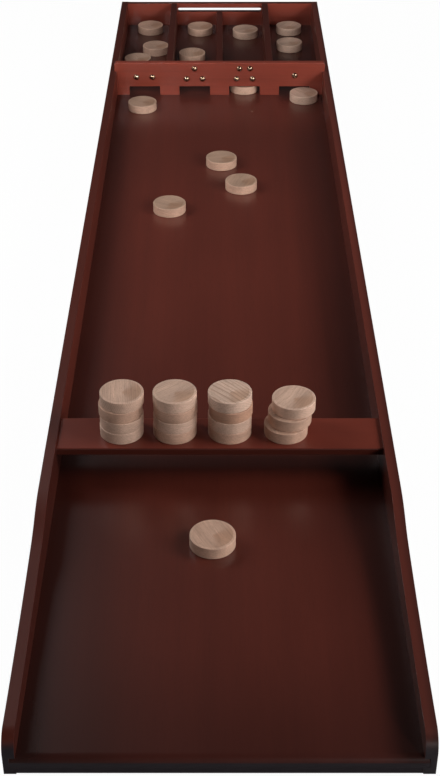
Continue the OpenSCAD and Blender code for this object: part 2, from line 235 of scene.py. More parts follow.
# %% [markdown]
# ## Light from a plain studio
#
# Where the lamps stood can be read from the shadows and the discs' rims. Near the player each
# rim is bright at its right, less bright at its left, and dark between, so there was a lamp at
# each side. The shelf's shadow falls straight down, so neither stood before or behind the
# board. A third stood far behind the photographer, at the right. Up at the gates the rims are
# brighter than the tops, which takes a low light that reaches the far end only: a spot beside
# the camera. Two weak lamps, one high at the left and one low at the right beyond the gates,
# fill the compartments.
#
# A picture of a studio, wrapped round the scene, would light it too, but its lamps could not
# be moved one by one.

# %% Stand the lamps
LANE_AIM, ROOMS_AIM, GATES_AIM = (0, -0.2, 0.02), (0, 0.7, 0.02), (0, 0.85, 0.04)
SPOT_ANGLE = 28
SPOT_BULB = 0.12


def stand_lamp(light, place, aim, watts):
    """Stands a lamp at a place and points it at another."""
    light.energy = watts
    lamp = bpy.data.objects.new(light.name, light)
    lamp.location = place
    lamp.rotation_euler = (Vector(place) - Vector(aim)).to_track_quat("Z", "Y").to_euler()
    bpy.context.scene.collection.objects.link(lamp)


def soft_box(name, place, aim, wide, high, watts):
    """A white rectangle that casts soft shadows."""
    light = bpy.data.lights.new(name, "AREA")
    light.shape = "RECTANGLE"
    light.size, light.size_y = wide, high
    stand_lamp(light, place, aim, watts)


soft_box("left_soft_box", (-1.0, -0.06, 0.80), LANE_AIM, wide=0.35, high=0.6, watts=7.7)
soft_box("right_soft_box", (1.41, -0.74, 0.86), LANE_AIM, wide=0.9, high=0.9, watts=23.5)
soft_box("front_soft_box", (2.3, -4.5, 1.6), LANE_AIM, wide=0.6, high=0.6, watts=56)
soft_box("high_soft_box", (-0.9, 0.9, 1.2), ROOMS_AIM, wide=0.5, high=0.5, watts=5.0)
soft_box("back_soft_box", (2.2, 1.9, 0.6), GATES_AIM, wide=0.8, high=0.5, watts=3)
spot = bpy.data.lights.new("gate_spot", "SPOT")
spot.spot_size = math.radians(SPOT_ANGLE)
spot.spot_blend = 1.0
spot.shadow_soft_size = SPOT_BULB
stand_lamp(spot, (-0.45, -2.3, 1.45), GATES_AIM, watts=92)

# %% [markdown]
# The world adds the dim light that comes back from the walls of the room. A grey world would
# do for that, but it would show behind the board and in the lacquer. So the Light Path node
# tells the rays apart: the camera sees white, and a reflection sees a faint white low down
# and a dark room above, or the lacquered board would look grey, not red.

# %% Light the room
WHITE = (1, 1, 1, 1)
ROOM_GREY = (0.03, 0.03, 0.03, 1)
MIRRORED_ROOM = (0.045, 0.044, 0.044, 1)
SWEEP_TOP = 0.03
SWEEP_SHINE = 0.3


def seen_rays(tree):
    """The Light Path's rays, and 1 for those that see the background as it is."""
    rays = add(tree, "LightPath").outputs
    return rays, maths(tree, "MAXIMUM", rays["Is Camera Ray"], rays["Is Transmission Ray"])


world = bpy.data.worlds.new("studio")
bpy.context.scene.world = world
tree = blank_tree(world)
rays, seen = seen_rays(tree)
up = add(tree, "SeparateXYZ", {0: add(tree, "TexCoord").outputs["Generated"]}).outputs["Z"]
low_down = remap(tree, up, 0.0, SWEEP_TOP, 1.0, 0.0, smooth=True)
mirrored = maths(tree, "MULTIPLY", rays["Is Glossy Ray"], maths(tree, "MULTIPLY", low_down, SWEEP_SHINE))
white, dim, dark = [add(tree, "Background", {"Color": colour, "Strength": 1.0}).outputs[0]
                    for colour in (WHITE, ROOM_GREY, MIRRORED_ROOM)]
room = add(tree, "MixShader", {0: rays["Is Glossy Ray"], 1: dim, 2: dark}).outputs[0]
mix = add(tree, "MixShader", {0: maths(tree, "MAXIMUM", seen, mirrored), 1: room, 2: white})
add(tree, "OutputWorld", {"Surface": mix.outputs[0]})
print("room light", ROOM_GREY[0])

# %% [markdown]
# ## The table
#
# The board lies on a pale table whose edges are out of sight, so a plane that reaches well
# past the picture does. White paint alone would need far more light than the board can take.
# So the plane glows for the camera, almost pure white, and the small part that doesn't glow
# still takes the board's shadow. In a reflection it is nearly dark, or the lacquer would turn
# grey. It lies a hair below the board's feet, or the two would flicker through each other.

# %% Lay the pale table
TABLE_HALF = 8.0
TABLE_PAINT = (0.8, 0.8, 0.8, 1)
TABLE_GLOW = 0.98
TABLE_SHINE = 0.10
UNDER_BOARD = 0.0004

table_mesh = bpy.data.meshes.new("table")
corners = [(x * TABLE_HALF, y * TABLE_HALF) for x, y in ((-1, -1), (1, -1), (1, 1), (-1, 1))]
table_mesh.from_pydata([(x, y, cad_low.z - UNDER_BOARD) for x, y in corners], [], [(0, 1, 2, 3)])
table = bpy.data.objects.new("table", table_mesh)
bpy.context.scene.collection.objects.link(table)
table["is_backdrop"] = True

table_paint, tree = new_material("pale_table")
rays, seen = seen_rays(tree)
paint = add(tree, "BsdfDiffuse", {"Color": TABLE_PAINT}).outputs[0]
glow = add(tree, "Emission", {"Color": WHITE, "Strength": 1.0}).outputs[0]
shine = add(tree, "Emission", {"Color": WHITE, "Strength": TABLE_SHINE}).outputs[0]
lit = add(tree, "MixShader", {0: maths(tree, "MULTIPLY", seen, TABLE_GLOW), 1: paint, 2: glow}).outputs[0]
mix = add(tree, "MixShader", {0: rays["Is Glossy Ray"], 1: lit, 2: shine})
add(tree, "OutputMaterial", {"Surface": mix.outputs[0]})
table_mesh.materials.append(table_paint)
print("table", TABLE_HALF * 2, "metres square")

# %% [markdown]
# ## The grain of the stained boards
#
# The frame looks like a plain close-grained wood, which shows through its red-brown stain
# as broad bands, fine fibres and small dark pores, with clouds where it soaked in unevenly. A
# photograph of stained wood would repeat itself down a two metre lane. So the grain is drawn
# with noise, which never repeats, stretched along each board.

# %% Stretch noise along a board
ACROSS_LANE, DOWN_LANE = 0, 1
BANDS, FIBRES, PORES = (30, 1.2), (260, 7), (1500, 55)
CLOUDS, WORN_AND_HIGHLIT_PATCHES, ORANGE_PEEL = (9, 5), (90, 30), (420, 420)


def board_noise(tree, place, steps, grain_axis, detail=3.0):
    """Noise with so many steps per metre across the grain and along it."""
    across, along = steps
    scale = [across] * 3
    scale[grain_axis] = along
    return noise(tree, place, scale, detail)


print("bands of grain every", round(1000 / BANDS[0]), "mm")

# %% [markdown]
# ## Painted shade and light on the stain
#
# The lane is darker along the walls, at the player's end and in the compartments, and the
# walls' tops differ from their cheeks. This is painted shade and painted light: each zone makes
# the stain darker or paler where a few lamps don't give the shade or light that the board shows.
# It could be painted on the mesh by hand, but the lane is a CAD piece, whose mesh isn't touched.
# So a zone is worked out from where a point is, or from which way it faces: each has a value,
# its start, and where it is at full strength.

# %% Mark out the zones
EDGE_Y, LAST_Y, NEAR_Y, SHELF_Y = -1.02, -0.82, -0.75, -0.54
MIDDLE_Y, GATES_Y, ROOMS_Y = 0.1, 0.55, 0.62
BY_SHELF, ROOMS_FADE, TOP_EDGE = (0.1, -0.05), 0.03, 0.003
WALL_SHADE, LEFT_SHADE = (0.152, 0.188), (-0.05, -0.17)
FOOT_Z, HEAD_Z = 0.028, 0.062
FRONT_FACE, TOP_FACE, SIDE_FACE = (-0.3, -0.8), (0.5, 0.9), (0.3, 0.8)

wall_low, wall_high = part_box("right_side_wall")
inner, outer = wall_low.x, wall_high.x


def zone_shade(tree, place, zones):
    """Painted shade and light at a place. zones gives a factor for each zone that isn't plain."""
    across, along, height = add(tree, "SeparateXYZ", {0: place}).outputs
    from_middle = maths(tree, "ABSOLUTE", across)
    faces = facing(tree)
    by_player = remap(tree, along, SHELF_Y + BY_SHELF[0], SHELF_Y + BY_SHELF[1], smooth=True)
    sideways = maths(tree, "MULTIPLY", maths(tree, "ABSOLUTE", faces["X"]), by_player)
    leftwards = maths(tree, "MULTIPLY", remap(tree, across, *LEFT_SHADE, smooth=True), by_player)
    start_and_full = {
        "near_end": (along, MIDDLE_Y, NEAR_Y),
        "last_bit": (along, LAST_Y, EDGE_Y),
        "far_end": (along, MIDDLE_Y, GATES_Y),
        "in_rooms": (along, ROOMS_Y, ROOMS_Y + ROOMS_FADE),
        "along_walls": (from_middle, *WALL_SHADE),
        "facing_player": (faces["Y"], *FRONT_FACE),
        "on_top": (faces["Z"], *TOP_FACE),
        "at_foot": (height, HEAD_Z, FOOT_Z),
        "outer_edge": (from_middle, inner + TOP_EDGE, outer),
        "cheeks": (sideways, *SIDE_FACE),
        "near_left": (leftwards, 0.0, 1.0),
    }
    shade = 1.0
    for zone, factor in zones.items():
        value, start, full = start_and_full[zone]
        shade = maths(tree, "MULTIPLY", shade, remap(tree, value, start, full, 1.0, factor, smooth=True))
    return shade


print("walls are", round((outer - inner) * 1000, 1), "mm thick")

# %% [markdown]
# ## Clear lacquer over the stain
#
# Over the stain lies clear satin lacquer, and the lane is smoother still, as if waxed, to
# make the discs run. One shiny surface for both would look like plastic. Blender's Principled
# shader has a coat for this: the wood under it is dull and carries the colour, and the coat
# mirrors softly, so that a disc has a blurred reflection in the lane. A coat has a weight, a
# roughness and an index of refraction. The right wall mirrors most, so its coat is thick.

# %% Coat the wood
SATIN, WAXED, THICK = (0.7, 0.30, 1.5), (0.9, 0.27, 1.55), (1.0, 0.30, 1.6)


def lacquer(coat):
    """What a coat says to the shader's sockets."""
    return dict(zip(("Coat Weight", "Coat Roughness", "Coat IOR"), coat))


print("satin coat:", lacquer(SATIN))

# %% [markdown]
# ## The stained boards' material
#
# Now grain, zones and lacquer come together, in one function for all the boards. An eased edge
# is paler in patches: partly wear, where hands rubbed the stain thin, and partly a painted
# highlight along its rounding. A face turned to the player is nearly black: partly end grain
# that drank up stain, and partly painted shade where the lamps don't reach.

# %% Stain a board
STAIN = (0.100, 0.0185, 0.0110)
END_GRAIN_AND_SHADE = (0.022, 0.0145, 0.018, 1)
STREAKS_AT, PORES_AT, WORN_AND_HIGHLIT_AT = (0.34, 0.66), (0.63, 0.72), (0.42, 0.62)
FIBRE_SHARE = 0.3
PORE_TONE, PORE_SHOWS = 0.35, 0.25
RUBBED_AND_HIGHLIT_TONE, RUBBED_AND_HIGHLIT_SHOWS = 2.0, 0.6
BOARD_DULLNESS, WOOD_GLINT = (0.42, 0.52), 0.05


def stained_board(name, strength, grain_axis, uneven=0.08, dark_end=None, coat=SATIN, **zones):
    """Stained wood under lacquer. dark_end is the normal's Y where the end is darkest, and on a plain face.
    """
    material, tree = new_material(name)
    place = add(tree, "TexCoord").outputs["Object"]

    def grain(steps, detail=3.0):
        return board_noise(tree, place, steps, grain_axis, detail)

    def stain(times):
        return tuple(c * strength * times for c in STAIN) + (1,)

    fibres, cloud = grain(FIBRES, 5.0), grain(CLOUDS)
    pores = remap(tree, grain(PORES, 1.0), *PORES_AT)
    streaks = maths(tree, "MULTIPLY", grain(BANDS), 1 - FIBRE_SHARE)
    streaks = maths(tree, "MULTIPLY_ADD", fibres, FIBRE_SHARE, streaks)
    colour = blend(tree, remap(tree, streaks, *STREAKS_AT), stain(1 - uneven), stain(1 + uneven))
    clouded = maths(tree, "MULTIPLY_ADD", cloud, uneven * 3, 1 - uneven * 1.5)
    colour = multiply(tree, colour, maths(tree, "MULTIPLY", clouded, zone_shade(tree, place, zones)))
    colour = blend(tree, maths(tree, "MULTIPLY", pores, PORE_SHOWS), colour, stain(PORE_TONE))
    # Faces turned to the player: end grain's dark stain together with painted shade.
    if dark_end:
        soaked_and_shaded = remap(tree, facing(tree)["Y"], *dark_end, 1.0, 0.0, smooth=True)
        colour = blend(tree, soaked_and_shaded, colour, END_GRAIN_AND_SHADE)
    # Eased edges: wear and a painted highlight along the rounding, paler in patches.
    rubbed_and_highlit = maths(tree, "MULTIPLY", stored(tree, "wear_and_highlight"), remap(tree, grain(WORN_AND_HIGHLIT_PATCHES), *WORN_AND_HIGHLIT_AT))
    colour = blend(tree, maths(tree, "MULTIPLY", rubbed_and_highlit, RUBBED_AND_HIGHLIT_SHOWS), colour, stain(RUBBED_AND_HIGHLIT_TONE))

    relief = maths(tree, "MULTIPLY_ADD", fibres, 0.5, grain(ORANGE_PEEL, 2.0))
    relief = maths(tree, "SUBTRACT", relief, maths(tree, "MULTIPLY", pores, 0.6))
    dullness = remap(tree, cloud, *MOST_NOISE, *BOARD_DULLNESS)
    wood = {"Base Color": colour, "Roughness": dullness, "Specular IOR Level": WOOD_GLINT}
    end_material(tree, {**wood, **lacquer(coat)}, relief, strength=0.10, depth=0.0004)
    return material


print("stain", STAIN)

# %% [markdown]
# Each kind of board gets its own strength and its own factors for its zones. The strengths are
# partly the boards' own colour and partly painted light: the gate board and back wall get the
# brightest, where the lamps leave the far end too dark. They were set against the photograph.

# %% Mix a finish for each kind of board
LEFT_END, RIGHT_END, LANE_END = (-0.97, -0.6), (-1.0, -0.7), (-0.995, -0.95)

lane_finish = stained_board(
    "lane_lacquer", 0.98, DOWN_LANE, dark_end=LANE_END, coat=WAXED, near_end=0.82, last_bit=0.62,
    far_end=0.88, in_rooms=0.68, along_walls=0.64, facing_player=1.2, near_left=0.62)
left_wall_finish = stained_board(
    "left_wall_lacquer", 1.15, DOWN_LANE, dark_end=LEFT_END, near_end=1.05, last_bit=1.15, on_top=0.58,
    cheeks=0.42)
right_wall_finish = stained_board(
    "right_wall_lacquer", 1.20, DOWN_LANE, dark_end=RIGHT_END, coat=THICK, near_end=0.75, last_bit=0.8,
    facing_player=0.6, outer_edge=0.6, cheeks=0.9)
divider_finish = stained_board("divider_lacquer", 0.80, DOWN_LANE, on_top=0.8)
gate_finish = stained_board("gate_lacquer", 2.25, ACROSS_LANE, uneven=0.18)
back_finish = stained_board("back_lacquer", 2.30, ACROSS_LANE, uneven=0.12, on_top=0.3, at_foot=0.6)
shelf_finish = stained_board("shelf_lacquer", 1.40, ACROSS_LANE, facing_player=0.45)
# The rail's front is long grain, so its dark front is painted shade only.
rail_finish = stained_board("rail_lacquer", 1.40, ACROSS_LANE, dark_end=LEFT_END)
print("materials:", len(bpy.data.materials))

# %% [markdown]
# ## Bare wood, brass and steel
#
# The battens under the panel are plain planed wood, the score nails are brass, toned down and
# lacquered, and the screws underneath are zinc plated. A plain colour would nearly do for
# things so small, but each gets one pattern that takes the newness off: grain for the wood,
# faint patches for the metals.

# %% Finish battens, nails and screws
BATTEN_GRAIN = (3, 170, 170)
METAL_PATCHES, PATCHES_AT = (320, 320, 320), (0.4, 0.65)
ROUGHER = 0.05
NO_COAT, NAIL_COAT = (0.0, 0.05, 1.5), (1.0, 0.05, 1.5)


def planed_wood(name, dark, pale):
    """Softwood, planed and left bare, with its grain across the lane."""
    material, tree = new_material(name)
    grain = noise(tree, add(tree, "TexCoord").outputs["Object"], BATTEN_GRAIN, 4.0)
    colour = blend(tree, remap(tree, grain, *MIDDLE_NOISE), dark, pale)
    end_material(tree, {"Base Color": colour, "Roughness": 0.7}, grain, strength=0.2, depth=0.0004)
    return material


def small_metal(name, bright, dull, roughness, coat=NO_COAT):
    """Metal with darker patches where it has toned down."""
    material, tree = new_material(name)
    patches = noise(tree, add(tree, "TexCoord").outputs["Object"], METAL_PATCHES)
    colour = blend(tree, remap(tree, patches, *PATCHES_AT), bright, dull)
    rough = remap(tree, patches, *MIDDLE_NOISE, roughness, roughness + ROUGHER)
    metal = {"Base Color": colour, "Metallic": 1.0, "Roughness": rough}
    end_material(tree, {**metal, **lacquer(coat)}, patches, strength=0.03, depth=0.0003)
    return material


batten_finish = planed_wood("bare_wood", (0.55, 0.38, 0.22, 1), (0.66, 0.50, 0.33, 1))
nail_finish = small_metal("nail_brass", (0.40, 0.26, 0.16, 1), (0.30, 0.19, 0.12, 1), 0.15, NAIL_COAT)
screw_finish = small_metal("screw_zinc", (0.66, 0.66, 0.64, 1), (0.48, 0.48, 0.47, 1), 0.3)
print("materials now:", len(bpy.data.materials))

# %% [markdown]
# ## Beech
#
# Every disc was turned from a plank, so its grain is a solid pattern that was cut through:
# straight lines on the face, fine layers on two sides of the rim, and end grain on the other
# two. A flat texture can't do that. So each point of a disc remembers where it was in its
# plank, and the growth rings are drawn there. Two more numbers per disc, its tone and the
# strength of its rings, make thirty discs from one material.

# %% Grow the beech
RING_STEP, RING_DRIFT = 0.0021, 0.004
PALE_BEECH, WARM_BEECH = (0.60, 0.417, 0.322, 1), (0.43, 0.235, 0.155, 1)
LATE_WOOD, FLECK_BROWN = (0.25, 0.125, 0.075, 1), (0.27, 0.15, 0.09, 1)
DRIFT_NOISE, BLOTCHES, BLOTCH_TONES = (9, 30, 30), (14, 60, 60), (0.84, 1.12)
FLECKS, FLECKS_AT, FLECK_SHOWS = (260, 1500, 1500), (0.60, 0.70), 0.45
FIBRE, FIBRE_TONES = (70, 2600, 2600), (0.92, 1.07)
LAYERS, LAYER_TONES = (18, 500, 900), (0.90, 1.07)


def late_wood(tree, plank):
    """Dark at the end of each year's growth, which lies round the heart of the tree."""
    apart = add(tree, "SeparateXYZ", {0: plank}).outputs
    beside, below = (maths(tree, "POWER", apart[way], 2.0) for way in "YZ")
    drift = maths(tree, "MULTIPLY", noise(tree, plank, DRIFT_NOISE), RING_DRIFT)
    from_heart = maths(tree, "ADD", maths(tree, "SQRT", maths(tree, "ADD", beside, below)), drift)
    part_of_year = maths(tree, "FRACT", maths(tree, "DIVIDE", from_heart, RING_STEP))
    return maths(tree, "POWER", part_of_year, 5.0)


def sawn_beech(tree, plank, fibre):
    """The colour of the plank: rings, blotches, flecks, fibres and layers."""
    body = blend(tree, stored(tree, "tone"), PALE_BEECH, WARM_BEECH)
    body = multiply(tree, body, remap(tree, noise(tree, plank, BLOTCHES), *MOST_NOISE, *BLOTCH_TONES))
    rings = maths(tree, "MULTIPLY", late_wood(tree, plank), stored(tree, "rings"))
    body = blend(tree, rings, body, LATE_WOOD)
    flecks = remap(tree, noise(tree, plank, FLECKS, 1.0), *FLECKS_AT)
    body = blend(tree, maths(tree, "MULTIPLY", flecks, FLECK_SHOWS), body, FLECK_BROWN)
    body = multiply(tree, body, remap(tree, fibre, *MOST_NOISE, *FIBRE_TONES))
    layers = noise(tree, plank, LAYERS, 2.0)
    return multiply(tree, body, remap(tree, layers, *MIDDLE_NOISE, *LAYER_TONES))


print("beech rings every", RING_STEP * 1000, "mm")

# %% [markdown]
# Then light is painted on. Wood fibres mirror light to one side, like silk, and a hollow face
# leans away from a lamp, so one sector of each face looks browner. Blender's anisotropic shine
# could show this, but it is lost when a finish is baked into a picture, so that sector is painted
# shade. Some discs get painted shade on their faces, the rim gets a little painted light, and the
# bevel a painted highlight.

# %% Paint light and shade on the beech
SECTOR_BROWN, SECTOR_AT, SECTOR_SHOWS = (0.76, 0.64, 0.54, 1), (0.3, 1.0), 0.7
PAINTED_TOP_SHADE = (0.70, 0.74, 0.72, 1)
RIM_PAINTED_LIGHT, BEVEL_HIGHLIGHT = 1.06, 1.2
ON_FACE, BEVEL_UP, BEVEL_SPREAD = (0.3, 0.7), 0.65, (0.1, 0.32)


def beech_with_painted_light(tree, body):
    """Paints the sector's shade, shade on some faces, light on rim and flat, and a bevel highlight."""
    sector = remap(tree, stored(tree, "lean"), *SECTOR_AT, 0.0, SECTOR_SHOWS, smooth=True)
    body = blend(tree, sector, body, SECTOR_BROWN, "MULTIPLY")
    face_up = maths(tree, "ABSOLUTE", facing(tree)["Z"])
    top_shade_mask = maths(tree, "MULTIPLY", remap(tree, face_up, *ON_FACE), stored(tree, "top_shade"))
    body = blend(tree, top_shade_mask, body, PAINTED_TOP_SHADE, "MULTIPLY")
    body = multiply(tree, body, remap(tree, face_up, *ON_FACE, RIM_PAINTED_LIGHT, 1.0))
    body = multiply(tree, body, stored(tree, "face_light_and_shade"))
    off_bevel = maths(tree, "ABSOLUTE", maths(tree, "SUBTRACT", face_up, BEVEL_UP))
    return multiply(tree, body, remap(tree, off_bevel, *BEVEL_SPREAD, BEVEL_HIGHLIGHT, 1.0))


print("brown sector", SECTOR_BROWN[:3])

# %% [markdown]
# What is left is the surface. The chisel left faint circles, the fibres stand up a little,
# and a rub of wax gives a soft shine.

# %% A material for turned beech
CHISEL_MARKS = 260.0
BEECH_DULLNESS, BEECH_GLINT = (0.44, 0.54), 0.4


def turned_beech(name):
    """Beech with growth rings, flecks and faint tool marks."""
    material, tree = new_material(name)
    plank = add(tree, "Attribute", attribute_name="plank").outputs["Vector"]
    fibre = noise(tree, plank, FIBRE, 2.0)
    body = beech_with_painted_light(tree, sawn_beech(tree, plank, fibre))

    place = add(tree, "TexCoord").outputs["Object"]
    marks = add(tree, "TexWave", {"Vector": place, "Scale": CHISEL_MARKS, "Distortion": 0.4},
                wave_type="RINGS", rings_direction="Z").outputs["Fac"]
    height = maths(tree, "MULTIPLY_ADD", fibre, 0.6, maths(tree, "MULTIPLY", marks, 0.5))
    dullness = remap(tree, fibre, *MOST_NOISE, *BEECH_DULLNESS)
    beech = {"Base Color": body, "Roughness": dullness, "Specular IOR Level": BEECH_GLINT}
    end_material(tree, beech, height, strength=0.16, depth=0.0003)
    return material


disc_finish = turned_beech("turned_beech")
print("disc finish has", len(disc_finish.node_tree.nodes), "nodes")

# %% [markdown]
# ## Boards sawn to an outline
#
# Walls, dividers and gate board are all made the same way: a flat outline, sawn from a board
# of even thickness. We could scale a cube for each, but a cube has no ogee, no gates and no
# hand slot. So one function extrudes an outline, and its holes, along the board's thin axis.

# %% Saw a board
def sawn_board(outline, low, high, thin_axis, holes=()):
    """A board between two depths. The outline has the other two axes, in order."""
    bm = bmesh.new()
    sides = []
    for depth in (low, high):
        rims = []
        for ring in (outline, *holes):
            points = [list(p) for p in ring]
            for p in points:
                p.insert(thin_axis, depth)
            rims.append([bm.verts.new(p) for p in points])
        sides.append(rims)
        edges = [bm.edges.new((a, b)) for rim in rims for a, b in zip(rim, rim[1:] + rim[:1])]
        if holes:
            bmesh.ops.triangle_fill(bm, use_beauty=True, edges=edges)
        else:
            bm.faces.new(rims[0])
    for near, far in zip(*sides):
        for i in range(len(near)):
            bm.faces.new((near[i - 1], near[i], far[i], far[i - 1]))
    bmesh.ops.recalc_face_normals(bm, faces=bm.faces)
    return bm


def block(low, high):
    """A plain box between two corners."""
    rectangle = [(low[1], low[2]), (high[1], low[2]), (high[1], high[2]), (low[1], high[2])]
    return sawn_board(rectangle, low[0], high[0], ACROSS_LANE)


print("saw ready")

# %% [markdown]
# A joiner eases a board's sharp corners, or rounds them over, so that they don't splinter.
# Razor edges give a computer model away, because a rounded edge catches a line of light.
# Blender's Bevel modifier would round all edges alike, and an end that butts against another
# board should stay square. So the bevel is done here, on chosen edges. It also notes which
# points are in the middle of a rounding, where the stain is shown paler: partly wear, partly a
# painted highlight.

# %% Ease its edges
SHARP = math.radians(30)
HAIR = 0.0001


def ease(bm, radius, chosen, steps=3):
    """Rounds the sharp edges that chosen() says yes to, given an edge's middle and direction."""
    wear_and_highlight = bm.loops.layers.float.get("wear_and_highlight") or bm.loops.layers.float.new("wear_and_highlight")
    edges = []
    for edge in bm.edges:
        a, b = (v.co for v in edge.verts)
        if edge.calc_face_angle(0) > SHARP and chosen((a + b) / 2, (b - a).normalized()):
            edges.append(edge)
    made = bmesh.ops.bevel(bm, geom=edges, offset=radius, segments=steps, profile=0.5,
                           affect="EDGES", clamp_overlap=True)["faces"]
    rounded = set(made)
    for face in made:
        for corner in face.loops:
            inside = all(f in rounded for f in corner.vert.link_faces)
            corner[wear_and_highlight] = 1.0 if inside else 0.0


def runs(along, axis):
    """True for an edge that runs along an axis."""
    return abs(along[axis]) > 0.9


print("edges over", round(math.degrees(SHARP)), "degrees can be eased")

# %% [markdown]
# Grooves are cut last, as a joiner does, so that they stay crisp. The Boolean modifier cuts
# them, and its result is kept as the board's mesh. Then the board gets its finish, the CAD
# piece it replaces is hidden, and it joins the body it moves with.

# %% Cut its grooves and hand it over
def set_down(bm, name):
    """Turns a shape into an object in the scene."""
    mesh = bpy.data.meshes.new(name)
    bm.to_mesh(mesh)
    bm.free()
    made = bpy.data.objects.new(name, mesh)
    bpy.context.scene.collection.objects.link(made)
    return made


def groove(board, cut):
    """Takes a shape away from a board."""
    cutter = set_down(cut, "cutter")
    saw = board.modifiers.new("groove", "BOOLEAN")
    saw.object, saw.operation, saw.solver = cutter, "DIFFERENCE", "EXACT"
    graph = bpy.context.evaluated_depsgraph_get()
    board.data = bpy.data.meshes.new_from_object(board.evaluated_get(graph))
    board.modifiers.clear()
    bpy.data.objects.remove(cutter)


def finish_board(bm, name, node, finish, cuts=()):
    """The board's object, with its grooves and finish. It hides the CAD node that it replaces."""
    board = set_down(bm, name)
    for cut in cuts:
        groove(board, cut)
    board.data.name = name
    board.data.materials.clear()
    board.data.materials.append(finish)
    board.data.polygons.foreach_set("use_smooth", [True] * len(board.data.polygons))
    board.data.set_sharp_from_angle(angle=SHARP)
    even = board.modifiers.new("even_shading", "WEIGHTED_NORMAL")
    even.keep_sharp = True
    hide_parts(node)
    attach(board, "board")
    print(board.name, len(board.data.polygons), "faces")


print("router ready")

# %% [markdown]
# ## The side walls
#
# Each wall is full height at the gates. Just short of the player's end it sweeps down in an
# ogee, a convex crest that flows into a hollow foot, so that a hand can swing over it, and
# ends in a low rounded nose. A curve drawn by hand through a few points would wobble. So it
# is four arcs that each leave the last one along its tangent, and the eye sees one curve.

# %% Draw arcs
def arc(centre, radius, start, end, steps=12):
    """Points along an arc, between two angles in degrees."""
    angles = [math.radians(start + (end - start) * i / steps) for i in range(steps + 1)]
    return [Vector(centre) + radius * Vector((math.cos(a), math.sin(a))) for a in angles]


def upright(angle):
    """The direction at right angles to a slope that rises away from the player."""
    return Vector((-math.sin(math.radians(angle)), math.cos(math.radians(angle))))


print("a quarter circle has", len(arc((0, 0), 1, 0, 90)), "points")

# %% Draw the wall's outline
OGEE_START = 0.352
CREST_RADIUS = 0.184
FOOT_RADIUS = 0.239
OGEE_SLOPE = 14.5
TAIL_SLOPE = 4.6
NOSE_RADIUS = 0.020

front, back = cad_low.y, cad_high.y
wall_top = wall_high.z
crest = Vector((front + OGEE_START, wall_top - CREST_RADIUS))
crest_end = crest + CREST_RADIUS * upright(OGEE_SLOPE)
foot = crest_end + FOOT_RADIUS * upright(OGEE_SLOPE)
foot_end = foot - FOOT_RADIUS * upright(TAIL_SLOPE)
tail_radius = (foot_end.x - front - NOSE_RADIUS) / math.sin(math.radians(TAIL_SLOPE))
tail = foot_end + tail_radius * upright(TAIL_SLOPE)
nose = tail - Vector((0, tail_radius + NOSE_RADIUS))
wall_outline = [(front, 0), (back, 0), (back, wall_top)]
wall_outline += arc(crest, CREST_RADIUS, 90, 90 + OGEE_SLOPE)
wall_outline += arc(foot, FOOT_RADIUS, OGEE_SLOPE - 90, TAIL_SLOPE - 90)[1:]
wall_outline += arc(tail, tail_radius, TAIL_SLOPE - 90, -90)[1:]
wall_outline += arc(nose, NOSE_RADIUS, 90, 180)[1:]
print("wall outline has", len(wall_outline), "points")

# %% [markdown]
# The panel sits in a groove along each wall and the gate board's ends in an upright one, a
# dado. Their places are read from the CAD pieces that sit in them. The walls are eased where
# hands touch them, from the lane's surface up, and are only just broken at the nose and foot.

# %% Cut both side walls
EASE = 0.0014
CRISP = 0.0004
GROOVE_PLAY = 0.0001
CUT_PAST = 0.001

panel_low, panel_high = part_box("playing_board")
gate_low, gate_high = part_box("gate_board")
lane_z = panel_high.z


def handled_edge(middle, along):
    """True for the edges of a wall that a hand can run along."""
    return middle.z > lane_z and middle.y > front + NOSE_RADIUS and not runs(along, ACROSS_LANE)


def wall_cut(side, piece_x, low, high):
    """A block to cut with, from the lane's side of a wall to a piece that sits in it."""
    near, far = sorted((side * (inner - CUT_PAST), side * (piece_x + GROOVE_PLAY)))
    return block((near, *low), (far, *high))


def side_wall(word, side, finish):
    """The wall on one side: side is 1 for the right and -1 for the left."""
    wall = sawn_board(wall_outline, *sorted((side * inner, side * outer)), ACROSS_LANE)
    ease(wall, EASE, handled_edge)
    ease(wall, CRISP, lambda middle, along: middle.y < front + NOSE_RADIUS or middle.z < CRISP)
    panel_groove = wall_cut(side, panel_high.x, (front - CUT_PAST, panel_low.z - GROOVE_PLAY),
                            (panel_high.y + GROOVE_PLAY, lane_z))
    dado = wall_cut(side, gate_high.x, (gate_low.y - GROOVE_PLAY, lane_z - GROOVE_PLAY),
                    (gate_high.y + GROOVE_PLAY, wall_top + CUT_PAST))
    finish_board(wall, word + "_wall", word + "_side_wall", finish, (panel_groove, dado))


side_wall("left", -1, left_wall_finish)
side_wall("right", 1, right_wall_finish)

# %% [markdown]
# ## The back wall
#
# The back wall closes the compartments. Its long slot with round ends is the hand hold for
# carrying. A Boolean could cut the slot, but it would leave long thin faces that shade badly,
# so it is a hole in the outline from the start. Under it runs the panel's groove.

# %% Back wall with its hand slot
SLOT_LONG = 0.176
SLOT_HIGH = 0.0086
SLOT_BAR = 0.0092

back_low, back_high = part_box("back_wall")
slot_radius = SLOT_HIGH / 2
slot_z = wall_top - SLOT_BAR - slot_radius
slot_x = SLOT_LONG / 2 - slot_radius
slot = arc((slot_x, slot_z), slot_radius, -90, 90) + arc((-slot_x, slot_z), slot_radius, 90, 270)


def on_slot(middle, along):
    """True for the edges round the hand slot."""
    return abs(middle.z - slot_z) < slot_radius + HAIR and abs(middle.x) < SLOT_LONG / 2


